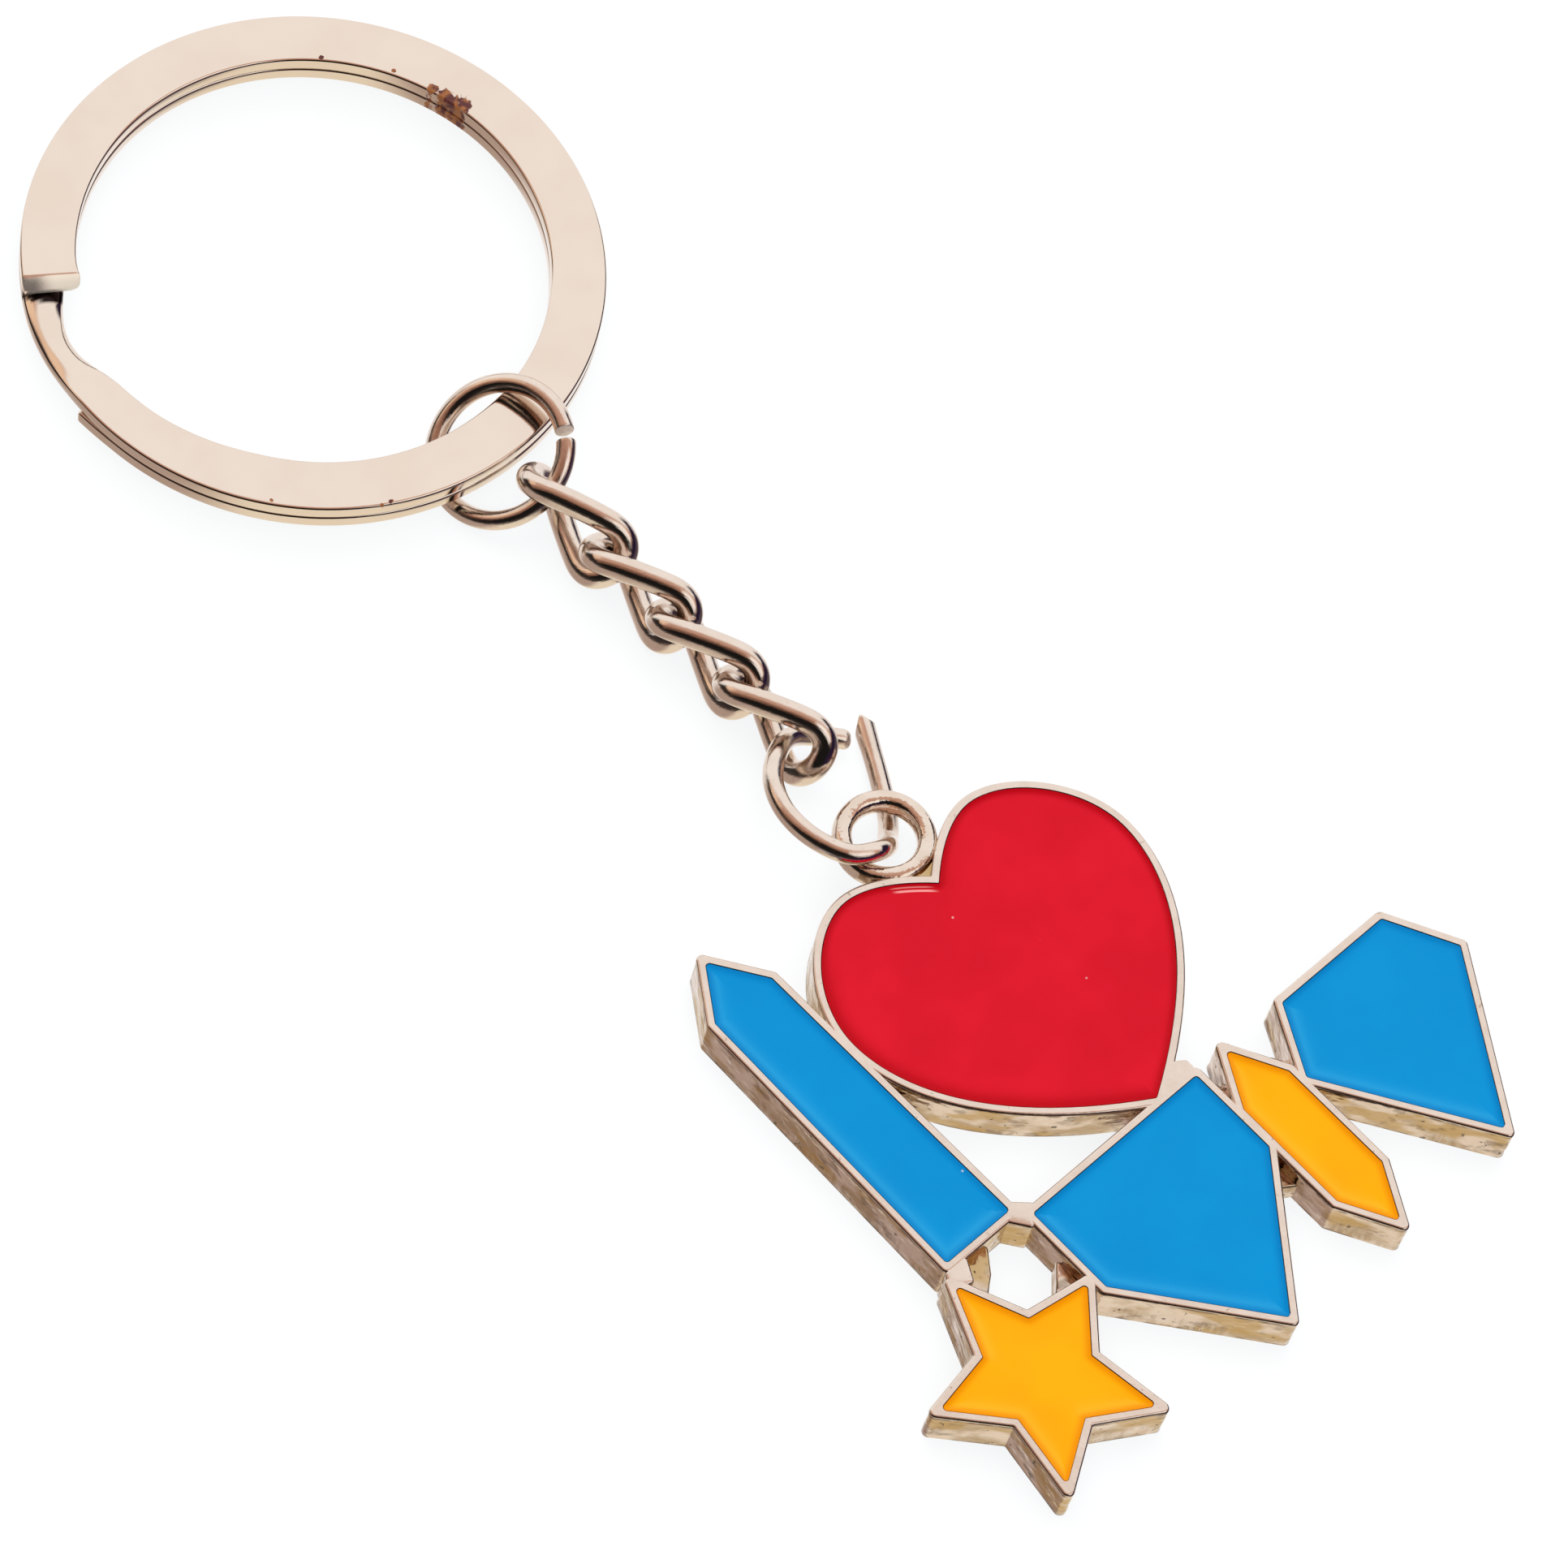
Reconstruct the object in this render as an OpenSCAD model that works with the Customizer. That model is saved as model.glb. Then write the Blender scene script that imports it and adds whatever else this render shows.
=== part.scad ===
// Keychain: split ring, jump ring, four twisted curb links, an opened end ring
// and a die-cast charm with coloured enamel fills. It lies flat, front side up.

/* [Split ring] */
// Outside diameter of the split ring
ring_od = 30; // [29:0.1:30]
// Width of the flattened strip, from inner to outer edge
strip_w = 2.85; // [2.4:0.05:2.9]
// Thickness of one coil of the strip
strip_t = 0.8; // [0.6:0.05:0.8]
// Gap between the two coils
coil_gap = 0.05; // [0.03:0.01:0.1]
// Height of the lower coil's underside above the table
ring_lift = 1.35; // [1.3:0.05:1.4]

/* [Wire] */
// Diameter of the jump ring's wire
jump_wire = 1.02; // [0.9:0.02:1.04]
// Diameter of the chain links' wire
link_wire = 1.24; // [1.1:0.02:1.26]
// Diameter of the end ring's wire
end_wire = 1.05; // [0.9:0.05:1.1]
// Mean radius of the jump ring
jump_r = 3.58; // [3.56:0.01:3.6]

/* [Chain] */
// Distance from one link to the next
link_pitch = 4.9; // [4.85:0.01:4.92]
// Length of a link's centre line, crown to crown
link_len = 6.4; // [6.36:0.01:6.42]
// Radius of a link's crown, to the middle of the wire
crown_r = 1.75; // [1.72:0.01:1.78]
// Angle between the planes of a link's two crowns
link_twist = 106; // [100:1:110]

/* [Charm] */
// Thickness of the casting
charm_t = 2.5; // [2.4:0.1:2.8]
// Width of the bare rim around each enamel field
rim = 0.45; // [0.4:0.01:0.5]
// Depth of the enamel pockets below the rim
pocket = 0.5; // [0.4:0.05:0.8]
// How far the enamel stays below the rim
enamel_low = 0.12; // [0.05:0.01:0.2]
// Height of the low webs that join the blocks
web_t = 1.4; // [1:0.1:2]

/* [Eyelet] */
// Hole radius of the charm's eyelet
eye_ri = 1.64; // [1.6:0.01:1.9]
// Outer radius of the charm's eyelet
eye_ro = 2.65; // [2.6:0.01:2.7]
// Underside of the eyelet above the table
eye_z0 = 1.25; // [1.2:0.01:1.4]
// Upper side of the eyelet above the table
eye_z1 = 2.5; // [2.3:0.01:2.5]

/* [Hidden] */

nickel = [0.89, 0.84, 0.79];
wire_c = [0.80, 0.72, 0.64];
blue = [0.0, 0.58, 0.85];
red = [0.88, 0.13, 0.21];
yellow = [1.0, 0.71, 0.08];

// Charm datum: the lower left corner of the tall field. It is placed so that
// the middle of the whole keychain's box is at the origin.
cd = [-13.0, -31.34, 0];
// Centre of the split ring, from the charm datum
ring_c = [14.19, 61.16];
ring_ro = ring_od / 2;
ring_ri = ring_ro - strip_w;
// The strip's free upper end, the ramp between the coils, and the lower end, in degrees
end_a = 148;
ramp_hi = 177;
ramp_lo = 150;
// The stretch where the strip is narrower on its inner side, in degrees, and by how much
neck_hi = 212;
neck_lo = 134;
neck_cut = [[134, 0], [142, 0.45], [149, 0.8], [156, 1.15], [164, 1.2], [170, 0.8], [178, 0.55],
            [187, 0.46], [197, 0.26], [206, 0.1], [212, 0]];
edge = 0.24;

// Jump ring: centre, lean and heading of its plane, turn of its cut
jump_c = [13.98, 46.88, 2.40];
jump_lean = 31.8;
jump_head = 168.3;
jump_cut = 154;
// Gap of the cut in degrees
jump_gap = 5;

// Middle of the chain, height of the links' axis and top of the second link
chain_x = 14.15;
chain_z = 2.15;
link_y = 39.8;
// Turn of the links' middle plane about their axis, from level
link_turn = 96;
// First link: its first crown hangs on the jump ring, above the others
link1_a = [14.05, 44.65, 2.95];
link1_b = [14.1, 38.25, 2.05];
link1_turn = 85;

// Route of the end ring's wire, from the cut end at the chain, through the last
// link, round the left, down through the eyelet and out to the pointed end
end_route = [[16.95, 23.9, 0.88], [15.5, 25.2, 1.25], [13.95, 25.6, 2.2], [12.4, 25.0, 2.85],
             [11.2, 24.0, 3.1], [10.45, 22.4, 3.3], [10.45, 20.4, 3.38], [11.3, 18.6, 3.23],
             [12.6, 17.95, 2.96], [13.7, 18.1, 2.0], [14.35, 18.6, 1.05], [15.3, 19.4, 0.58],
             [16.35, 20.9, 0.55], [18.35, 24.4, 0.6]];
eye_c = [13.85, 18.5];
heart_x = 13.95;

// ---- small vector tools ----
function unit(v) = v / norm(v);
function flat(l) = [for (a = l) for (b = a) b];
function perp(v, t) = unit(v - (v * t) * t);
function bez(p, t) = pow(1 - t, 3) * p[0] + 3 * pow(1 - t, 2) * t * p[1]
                   + 3 * (1 - t) * t * t * p[2] + pow(t, 3) * p[3];
// Outward offset of a counterclockwise outline, with mitred corners
function grow(p, d) = let (n = len(p)) [for (i = [0:n - 1])
    let (a = unit(p[i] - p[(i + n - 1) % n]), b = unit(p[(i + 1) % n] - p[i]),
         na = [a[1], -a[0]], nb = [b[1], -b[0]])
    p[i] + (na + nb) * d / (1 + na * nb)];

// Centripetal spline through a list of points, n steps between each two
function knot(a, b) = sqrt(norm(b - a));
function seg(p0, p1, p2, p3, n) = let (t1 = knot(p0, p1), t2 = t1 + knot(p1, p2), t3 = t2 + knot(p2, p3))
    [for (i = [0:n - 1]) let (t = t1 + (t2 - t1) * i / n,
        a1 = (t1 - t) / t1 * p0 + t / t1 * p1,
        a2 = (t2 - t) / (t2 - t1) * p1 + (t - t1) / (t2 - t1) * p2,
        a3 = (t3 - t) / (t3 - t2) * p2 + (t - t2) / (t3 - t2) * p3,
        b1 = (t2 - t) / t2 * a1 + t / t2 * a2,
        b2 = (t3 - t) / (t3 - t1) * a2 + (t - t1) / (t3 - t1) * a3)
     (t2 - t) / (t2 - t1) * b1 + (t - t1) / (t2 - t1) * b2];
function spline(k, n) = let (m = len(k), e = concat([2 * k[0] - k[1]], k, [2 * k[m - 1] - k[m - 2]]))
    concat(flat([for (i = [1:m - 1]) seg(e[i - 1], e[i], e[i + 1], e[i + 2], n)]), [k[m - 1]]);

// Round wire along a path, its rings turned away from the point c
module wire(path, r, c, sides = 12, closed = false) {
    n = len(path);
    t = [for (i = [0:n - 1]) unit(closed ? path[(i + 1) % n] - path[(i + n - 1) % n]
                                         : path[min(i + 1, n - 1)] - path[max(i - 1, 0)])];
    pts = flat([for (i = [0:n - 1]) let (u = perp(path[i] - c, t[i]), v = cross(t[i], u))
        [for (j = [0:sides - 1]) path[i] + r * (cos(360 * j / sides) * u + sin(360 * j / sides) * v)]]);
    rings = closed ? n : n - 1;
    skin = flat([for (i = [0:rings - 1]) flat([for (j = [0:sides - 1])
        let (a = i * sides + j, b = i * sides + (j + 1) % sides,
             d = ((i + 1) % n) * sides + j, e = ((i + 1) % n) * sides + (j + 1) % sides)
        [[a, d, b], [b, d, e]]])]);
    caps = closed ? [] : [[for (j = [0:sides - 1]) j], [for (j = [sides - 1:-1:0]) (n - 1) * sides + j]];
    polyhedron(pts, concat(skin, caps), convexity = 8);
}

// ---- split ring ----
module strip_section(z) {
    translate([(ring_ri + ring_ro) / 2, z]) polygon([
        [-strip_w / 2, edge], [-strip_w / 2 + edge, 0], [strip_w / 2 - edge, 0], [strip_w / 2, edge],
        [strip_w / 2, strip_t - edge], [strip_w / 2 - edge, strip_t],
        [-strip_w / 2 + edge, strip_t], [-strip_w / 2, strip_t - edge]]);
}

module coil(z, from, to) {
    rotate_extrude(angle = to - from, start = from, $fn = 120) strip_section(z);
}

// The stretch of strip that steps from the upper coil down to the lower one
module ramp() {
    in = 0.015;
    step = strip_t + coil_gap;
    n = 30;
    pts = flat([for (i = [0:n]) let (a = neck_hi + 1 + (neck_lo - neck_hi - 2) * i / n,
                                     s = max(0, min(1, (ramp_hi - a) / (ramp_hi - ramp_lo))),
                                     z = step * (1 - s * s * (3 - 2 * s)),
                                     ri = ring_ri + lookup(a, neck_cut),
                                     sec = [[ri + in, edge], [ri + edge, in], [ring_ro - edge, in],
                                            [ring_ro - in, edge], [ring_ro - in, strip_t - edge],
                                            [ring_ro - edge, strip_t - in], [ri + edge, strip_t - in],
                                            [ri + in, strip_t - edge]])
        [for (q = sec) [q[0] * cos(a), q[0] * sin(a), q[1] + z]]]);
    skin = flat([for (i = [0:n - 1]) flat([for (j = [0:7])
        let (a = i * 8 + j, b = i * 8 + (j + 1) % 8, d = a + 8, e = b + 8) [[a, d, b], [b, d, e]]])]);
    polyhedron(pts, concat(skin, [[for (j = [0:7]) j], [for (j = [7:-1:0]) n * 8 + j]]), convexity = 4);
}

module split_ring() color(nickel) translate(cd + [ring_c[0], ring_c[1], ring_lift]) {
    coil(strip_t + coil_gap, neck_hi - 360, end_a);
    coil(0, ramp_hi - 1 - 360, neck_lo);
    ramp();
}

// ---- jump ring ----
module jump_ring() color(wire_c) translate(cd + jump_c) rotate([0, jump_lean, jump_head])
    rotate([0, 0, jump_cut + jump_gap / 2])
    rotate_extrude(angle = 360 - jump_gap, $fn = 96) translate([jump_r, 0]) circle(d = jump_wire, $fn = 40);

// ---- chain links ----
// Centre line of a link from its first crown's top a to its last crown's top b:
// an oval twisted about its length, so that its two strands cross over once.
function link_path(a, b, turn, m = 10, s = 6) = let (
        l = norm(b - a), u = unit(b - a), ex = unit(cross([0, 0, 1], u)), ez = cross(u, ex),
        h1 = turn + link_twist / 2, h2 = turn - link_twist / 2, r = crown_r,
        oval = concat([for (i = [0:m - 1]) [-r * cos(180 * i / m), r - r * sin(180 * i / m)]],
                      [for (i = [0:s - 1]) [r, r + (l - 2 * r) * i / s]],
                      [for (i = [0:m - 1]) [r * cos(180 * i / m), l - r + r * sin(180 * i / m)]],
                      [for (i = [0:s - 1]) [-r, l - r - (l - 2 * r) * i / s]]))
    [for (q = oval) let (w = q[1] / l, h = h1 + (h2 - h1) * w,
        c = 0.55 * cos(h) + 0.45 * ((1 - w) * cos(h1) + w * cos(h2)),
        v = 0.55 * sin(h) + 0.45 * ((1 - w) * sin(h1) + w * sin(h2)))
     a + u * q[1] + q[0] * (c * ex + v * ez)];

module chain_link(a, b, turn = link_turn) color(wire_c) translate(cd)
    wire(link_path(a, b, turn), link_wire / 2, (a + b) / 2, closed = true);

function link_top(i) = [chain_x, link_y - link_pitch * (i - 2), chain_z];
module chain_link_1() chain_link(link1_a, link1_b, link1_turn);
module chain_link_2() chain_link(link_top(2), link_top(2) - [0, link_len, 0]);
module chain_link_3() chain_link(link_top(3), link_top(3) - [0, link_len, 0]);
module chain_link_4() chain_link(link_top(4), link_top(4) - [0, link_len, 0]);

// ---- end ring ----
module end_ring() color(wire_c) translate(cd) {
    p = spline(end_route, 4);
    n = len(p) - 1;
    t = unit(p[n] - p[n - 1]);
    a = atan2(t[1], t[0]);
    // the last end is nipped to a blunt point
    difference() {
        wire(concat(p, [p[n] + 0.32 * t]), end_wire / 2, [13.5, 21.5, 1.5]);
        translate(p[n] + 0.34 * t) rotate([0, 0, a - 38]) translate([0, -2, -1]) cube([2, 4, 2]);
        translate(p[n] + 0.34 * t) rotate([0, 0, a + 60]) translate([0, -2, -1]) cube([2, 4, 2]);
    }
}

// ---- charm outlines, counterclockwise, from the charm datum ----
obelisk_p = [[-0.15, 0], [4.1, 0], [3.9, 16.4], [2.0, 19.1], [0.1, 16.4]];
// Right half of the heart, from the point up and over the lobe to the notch
heart_half = concat(
    [for (i = [0:13]) bez([[0, -0.45], [8.159, 4.209], [9.43, 8.875], [9.43, 11.2]], i / 14)],
    [for (i = [0:11]) bez([[9.43, 11.2], [9.43, 14.229], [6.587, 17.05], [4.3, 17.05]], i / 12)],
    [for (i = [0:8]) bez([[4.3, 17.05], [2.9, 17.05], [1.3, 16.0], [0, 14.8]], i / 8)]);
heart_n = len(heart_half);
heart_p = concat([for (q = heart_half) [q[0] + heart_x, q[1]]],
                 [for (i = [heart_n - 2:-1:1]) [heart_x - heart_half[i][0], heart_half[i][1]]]);
star_c = [-0.72, -7.05];
star_p = [for (i = [0:9]) let (k = i % 2 == 0 ? 1 : 0.5, a = 90 + 36 * i)
          star_c + [5.25 * k * cos(a), 5.95 * k * sin(a)]];
shield_p = [[4.9, -0.9], [4.9, -5.9], [10.6, -12.85], [16.3, -5.9], [16.3, -0.9]];
lozenge_p = [[18.42, -0.9], [16.82, -3.7], [16.82, -10.1], [18.42, -12.85], [20.02, -10.1], [20.02, -3.7]];
gem_p = [[22.5, -0.9], [20.5, -4.5], [26.1, -12.85], [31.7, -4.5], [29.7, -0.9]];
// Bare metal that joins the blocks' rims at full height
bridges = [[[3.5, -0.3], [4.4, -1.5], [5.4, -0.5], [4.4, 0.4]],
           [[13.8, -0.8], [16.6, -0.8], [16.6, 0.05], [15.9, 0.5], [14.0, -0.1]],
           [[-0.6, -0.3], [-1.1, -1.2], [0.2, -1.6], [0.9, -0.3]]];
// Low webs in the corners between the blocks
webs = [[[-0.2, -0.3], [0.35, -2.6], [1.6, -1.6], [2.6, -0.3]],
        [[4.7, -2.9], [3.4, -4.2], [2.6, -4.6], [4.7, -4.9]],
        [[16.6, -0.9], [16.7, -3.6], [17.6, -2.6], [17.2, -1.2]],
        [[19.6, -3.2], [20.4, -4.6], [21.2, -3.4], [20.4, -2.2]],
        [[16.1, -6.4], [16.9, -5.8], [16.9, -8.4], [15.4, -7.5]]];

module prism(p, z0, z1) translate([0, 0, z0]) linear_extrude(z1 - z0) polygon(p);

module pad(p) translate(cd) prism(p, charm_t - pocket, charm_t - enamel_low);

module charm_body() color(nickel) translate(cd) {
    difference() {
        union() {
            prism(grow(obelisk_p, rim), 0, charm_t);
            // each half of the heart's rim is grown apart, so the notch stays sharp
            prism(grow([for (q = concat(heart_half, [[-0.3, 14.8], [-0.3, -0.45]])) [q[0] + heart_x, q[1]]], rim - 0.03), 0, charm_t);
            mirror([1, 0, 0]) translate([-2 * heart_x, 0, 0])
                prism(grow([for (q = concat(heart_half, [[-0.3, 14.8], [-0.3, -0.45]])) [q[0] + heart_x, q[1]]], rim - 0.03), 0, charm_t);
            for (p = [star_p, lozenge_p, gem_p, shield_p]) prism(grow(p, rim), 0, charm_t);
            for (b = bridges) prism(b, 0, charm_t);
            for (w = webs) prism(w, 0.1, web_t);
            // neck below the eyelet
            prism([[12.6, 15.2], [15.3, 15.2], [15.1, 16.5], [12.8, 16.5]], 0, eye_z0 + 0.15);
        }
        for (p = [obelisk_p, heart_p, star_p, shield_p, lozenge_p, gem_p]) prism(p, charm_t - pocket, charm_t + 1);
    }
    eyelet();
}

module eyelet() {
    c = 0.3;
    translate([eye_c[0], eye_c[1], 0]) rotate_extrude($fn = 72) polygon([
        [eye_ri, eye_z0 + c], [eye_ri + c, eye_z0], [eye_ro - c, eye_z0], [eye_ro, eye_z0 + c],
        [eye_ro, eye_z1 - c], [eye_ro - c, eye_z1], [eye_ri + c, eye_z1], [eye_ri, eye_z1 - c]]);
}

module enamel_obelisk() color(blue) pad(obelisk_p);
module enamel_heart() color(red) pad(heart_p);
module enamel_star() color(yellow) pad(star_p);
module enamel_shield() color(blue) pad(shield_p);
module enamel_lozenge() color(yellow) pad(lozenge_p);
module enamel_gem() color(blue) pad(gem_p);

split_ring();
jump_ring();
chain_link_1();
chain_link_2();
chain_link_3();
chain_link_4();
end_ring();
charm_body();
enamel_obelisk();
enamel_heart();
enamel_star();
enamel_shield();
enamel_lozenge();
enamel_gem();
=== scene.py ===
"""Keychain looks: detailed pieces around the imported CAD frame."""
import math

import bpy
import numpy as np
from mathutils import Matrix, Vector, noise
from mathutils.geometry import delaunay_2d_cdt

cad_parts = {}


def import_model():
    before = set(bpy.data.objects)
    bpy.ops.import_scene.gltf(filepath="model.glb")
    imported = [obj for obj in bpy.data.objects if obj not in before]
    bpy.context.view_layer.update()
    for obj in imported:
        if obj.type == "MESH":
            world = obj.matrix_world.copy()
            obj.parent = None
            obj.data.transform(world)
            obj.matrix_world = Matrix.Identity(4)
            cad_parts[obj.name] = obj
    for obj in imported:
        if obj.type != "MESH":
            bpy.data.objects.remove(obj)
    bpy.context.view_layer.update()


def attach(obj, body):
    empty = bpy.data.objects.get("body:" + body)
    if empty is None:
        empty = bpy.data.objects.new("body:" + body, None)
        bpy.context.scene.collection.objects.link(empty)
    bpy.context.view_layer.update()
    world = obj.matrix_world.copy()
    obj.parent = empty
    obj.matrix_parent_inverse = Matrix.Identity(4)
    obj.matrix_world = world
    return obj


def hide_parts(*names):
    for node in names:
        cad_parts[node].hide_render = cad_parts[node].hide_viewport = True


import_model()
MM = 0.001
D = np.array([-13.0, -31.34, 0.0])          # charm datum in the row frame, mm


# ------------------------------------------------------------------ camera
def camera():
    az, el, roll = math.radians(-58.23), math.radians(60.43), math.radians(16.32)
    back = Vector((math.sin(az) * math.cos(el), -math.cos(az) * math.cos(el), math.sin(el)))
    right = Vector((math.cos(az), math.sin(az), 0))
    up = back.cross(right)
    r2 = right * math.cos(roll) + up * math.sin(roll)
    u2 = -right * math.sin(roll) + up * math.cos(roll)
    cam = bpy.data.cameras.new("camera")
    cam.lens, cam.sensor_width, cam.clip_start, cam.clip_end = 147.97, 36, 0.01, 10
    ob = bpy.data.objects.new("camera", cam)
    at = Vector((0.053, -6.822, 0)) * MM + back * 0.32196
    m = Matrix((r2, u2, back)).transposed().to_4x4()
    m.translation = at
    ob.matrix_world = m
    bpy.context.scene.collection.objects.link(ob)
    bpy.context.scene.camera = ob


camera()


# ------------------------------------------------------------------ node helpers
class Tree:
    def __init__(self, tree):
        self.t = tree
        self.t.nodes.clear()

    def n(self, kind, **kw):
        node = self.t.nodes.new("ShaderNode" + kind)
        for k, v in kw.items():
            if k.startswith("i_"):
                node.inputs[k[2:].replace("_", " ")].default_value = v
            elif k.startswith("x"):
                node.inputs[int(k[1:])].default_value = v
            else:
                setattr(node, k, v)
        return node

    def l(self, a, b):
        self.t.links.new(a, b)
        return b

    def math(self, op, a, b=None, c=None, clamp=False):
        m = self.t.nodes.new("ShaderNodeMath")
        m.operation, m.use_clamp = op, clamp
        for i, v in enumerate((a, b, c)):
            if v is None:
                continue
            if isinstance(v, (int, float)):
                m.inputs[i].default_value = v
            else:
                self.t.links.new(v, m.inputs[i])
        return m.outputs[0]

    def step(self, v, a, b):
        """0 below a, 1 above b, smooth between."""
        m = self.t.nodes.new("ShaderNodeMapRange")
        m.interpolation_type = "SMOOTHSTEP"
        for k, x in (("From Min", a), ("From Max", b)):
            m.inputs[k].default_value = x
        self.t.links.new(v, m.inputs["Value"])
        return m.outputs["Result"]

    def mix(self, f, a, b):
        m = self.t.nodes.new("ShaderNodeMix")
        m.data_type = "RGBA"
        for s, v in ((m.inputs[0], f), (m.inputs[6], a), (m.inputs[7], b)):
            if hasattr(v, "is_linked") or hasattr(v, "links"):
                self.t.links.new(v, s)
            elif isinstance(v, (int, float)):
                s.default_value = v
            else:
                s.default_value = (*v, 1) if len(v) == 3 else v
        return m.outputs[2]

    def noise(self, vec, scale, detail=3.0, rough=0.5, dist=0.0):
        k = self.t.nodes.new("ShaderNodeTexNoise")
        k.inputs["Scale"].default_value = scale
        k.inputs["Detail"].default_value = detail
        k.inputs["Roughness"].default_value = rough
        k.inputs["Distortion"].default_value = dist
        self.t.links.new(vec, k.inputs["Vector"])
        return k.outputs["Fac"]

    def mapped(self, vec, scale, loc=(0, 0, 0), rot=(0, 0, 0)):
        k = self.t.nodes.new("ShaderNodeMapping")
        k.inputs["Scale"].default_value = scale
        k.inputs["Location"].default_value = loc
        k.inputs["Rotation"].default_value = rot
        self.t.links.new(vec, k.inputs["Vector"])
        return k.outputs["Vector"]

    def dot(self, vec, v):
        k = self.t.nodes.new("ShaderNodeVectorMath")
        k.operation = "DOT_PRODUCT"
        k.inputs[1].default_value = v
        self.t.links.new(vec, k.inputs[0])
        return k.outputs["Value"]


# ------------------------------------------------------------------ world and lights
def world():
    w = bpy.data.worlds.new("studio")
    bpy.context.scene.world = w
    w.use_nodes = True
    t = Tree(w.node_tree)
    d = t.n("TexCoord").outputs["Generated"]
    z = t.dot(d, (0, 0, 1))
    far = t.dot(d, (0.85, 0.53, 0))
    side = t.dot(d, (0.53, -0.85, 0))

    def box(direction, a, b):
        return t.step(t.dot(d, tuple(Vector(direction).normalized())), a, b)

    # warm brown ceiling, dark towards the near side and low down
    ceiling = t.mix(t.step(far, -0.36, 0.10), (0.33, 0.17, 0.115), (0.66, 0.41, 0.31))
    dark = t.mix(t.step(z, 0.02, 0.40), (0.060, 0.048, 0.044), (0.012, 0.011, 0.010))
    near = t.math("SUBTRACT", 1, t.step(far, -0.50, -0.38))
    low = t.math("SUBTRACT", 1, t.step(z, 0.34, 0.50))
    col = t.mix(t.math("MAXIMUM", near, low), ceiling, dark)
    # a wall of light at the far side that leans over the table
    col = t.mix(t.step(far, 0.27, 0.40), col, (1.06, 1.03, 1.00))
    # a softbox at the right and a small one at the left
    col = t.mix(box((0.14, -0.64, 0.755), 0.925, 0.965), col, (1.15, 1.10, 1.05))
    col = t.mix(box((-0.31, 0.74, 0.60), 0.965, 0.992), col, (0.98, 0.72, 0.52))
    # the horizon is dark at the right
    edge = t.math("MULTIPLY", t.step(side, 0.40, 0.52), t.math("SUBTRACT", 1, t.step(z, 0.38, 0.47)))
    col = t.mix(edge, col, (0.022, 0.013, 0.040))
    # what the metal sees of the table top: light at the far side, brown and dull at the near side
    close = t.mix(t.step(side, -0.34, 0.02), (0.50, 0.39, 0.33), (0.95, 0.86, 0.70))
    table = t.mix(t.step(far, -0.15, 0.45), close, (1.0, 0.97, 0.95))
    table = t.mix(t.step(side, 0.50, 0.80), table, (0.10, 0.075, 0.095))
    col = t.mix(t.math("SUBTRACT", 1, t.step(z, -0.10, 0.0)), col, table)
    bg = t.n("Background")
    t.l(col, bg.inputs["Color"])
    out = t.n("OutputWorld")
    t.l(bg.outputs[0], out.inputs[0])


def lamp(name, at, to, size, power, glossy=False):
    d = bpy.data.lights.new(name, "AREA")
    d.shape, d.size, d.energy = "DISK", size, power
    ob = bpy.data.objects.new(name, d)
    ob.location = at
    ob.rotation_euler = (Vector(to) - Vector(at)).to_track_quat("-Z", "Y").to_euler()
    ob.visible_glossy = glossy
    bpy.context.scene.collection.objects.link(ob)


world()
lamp("key", (0.10, 0.25, 0.9), (0, 0, 0), 0.9, 2.9)
lamp("fill", (-0.5, -0.4, 0.8), (0, 0, 0), 0.9, 4.0)


def floor():
    me = bpy.data.meshes.new("floor")
    s = 1.5
    me.from_pydata([(-s, -s, -2e-5), (s, -s, -2e-5), (s, s, -2e-5), (-s, s, -2e-5)], [], [(0, 1, 2, 3)])
    ob = bpy.data.objects.new("floor", me)
    bpy.context.scene.collection.objects.link(ob)
    m = bpy.data.materials.new("floor_paper")
    m.use_nodes = True
    t = Tree(m.node_tree)
    b = t.n("BsdfPrincipled", i_Base_Color=(0.20, 0.208, 0.216, 1), i_Roughness=0.9)
    b.inputs["Specular IOR Level"].default_value = 0.0
    b.inputs["Emission Color"].default_value = (0.97, 0.99, 1.0, 1)
    b.inputs["Emission Strength"].default_value = 0.84
    out = t.n("OutputMaterial")
    t.l(b.outputs[0], out.inputs[0])
    me.materials.append(m)
    ob.visible_glossy = False


floor()


# ------------------------------------------------------------------ materials
def material(name):
    m = bpy.data.materials.new(name)
    m.use_nodes = True
    t = Tree(m.node_tree)
    b = t.n("BsdfPrincipled")
    out = t.n("OutputMaterial")
    t.l(b.outputs[0], out.inputs[0])
    return m, t, b


def bump(t, b, height, strength, dist):
    k = t.n("Bump", i_Strength=strength, i_Distance=dist)
    t.l(height, k.inputs["Height"])
    t.l(k.outputs[0], b.inputs["Normal"])


def mm_coords(t):
    """Object coordinates in millimetres."""
    o = t.n("TexCoord").outputs["Object"]
    return t.mapped(o, (1000, 1000, 1000))


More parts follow.
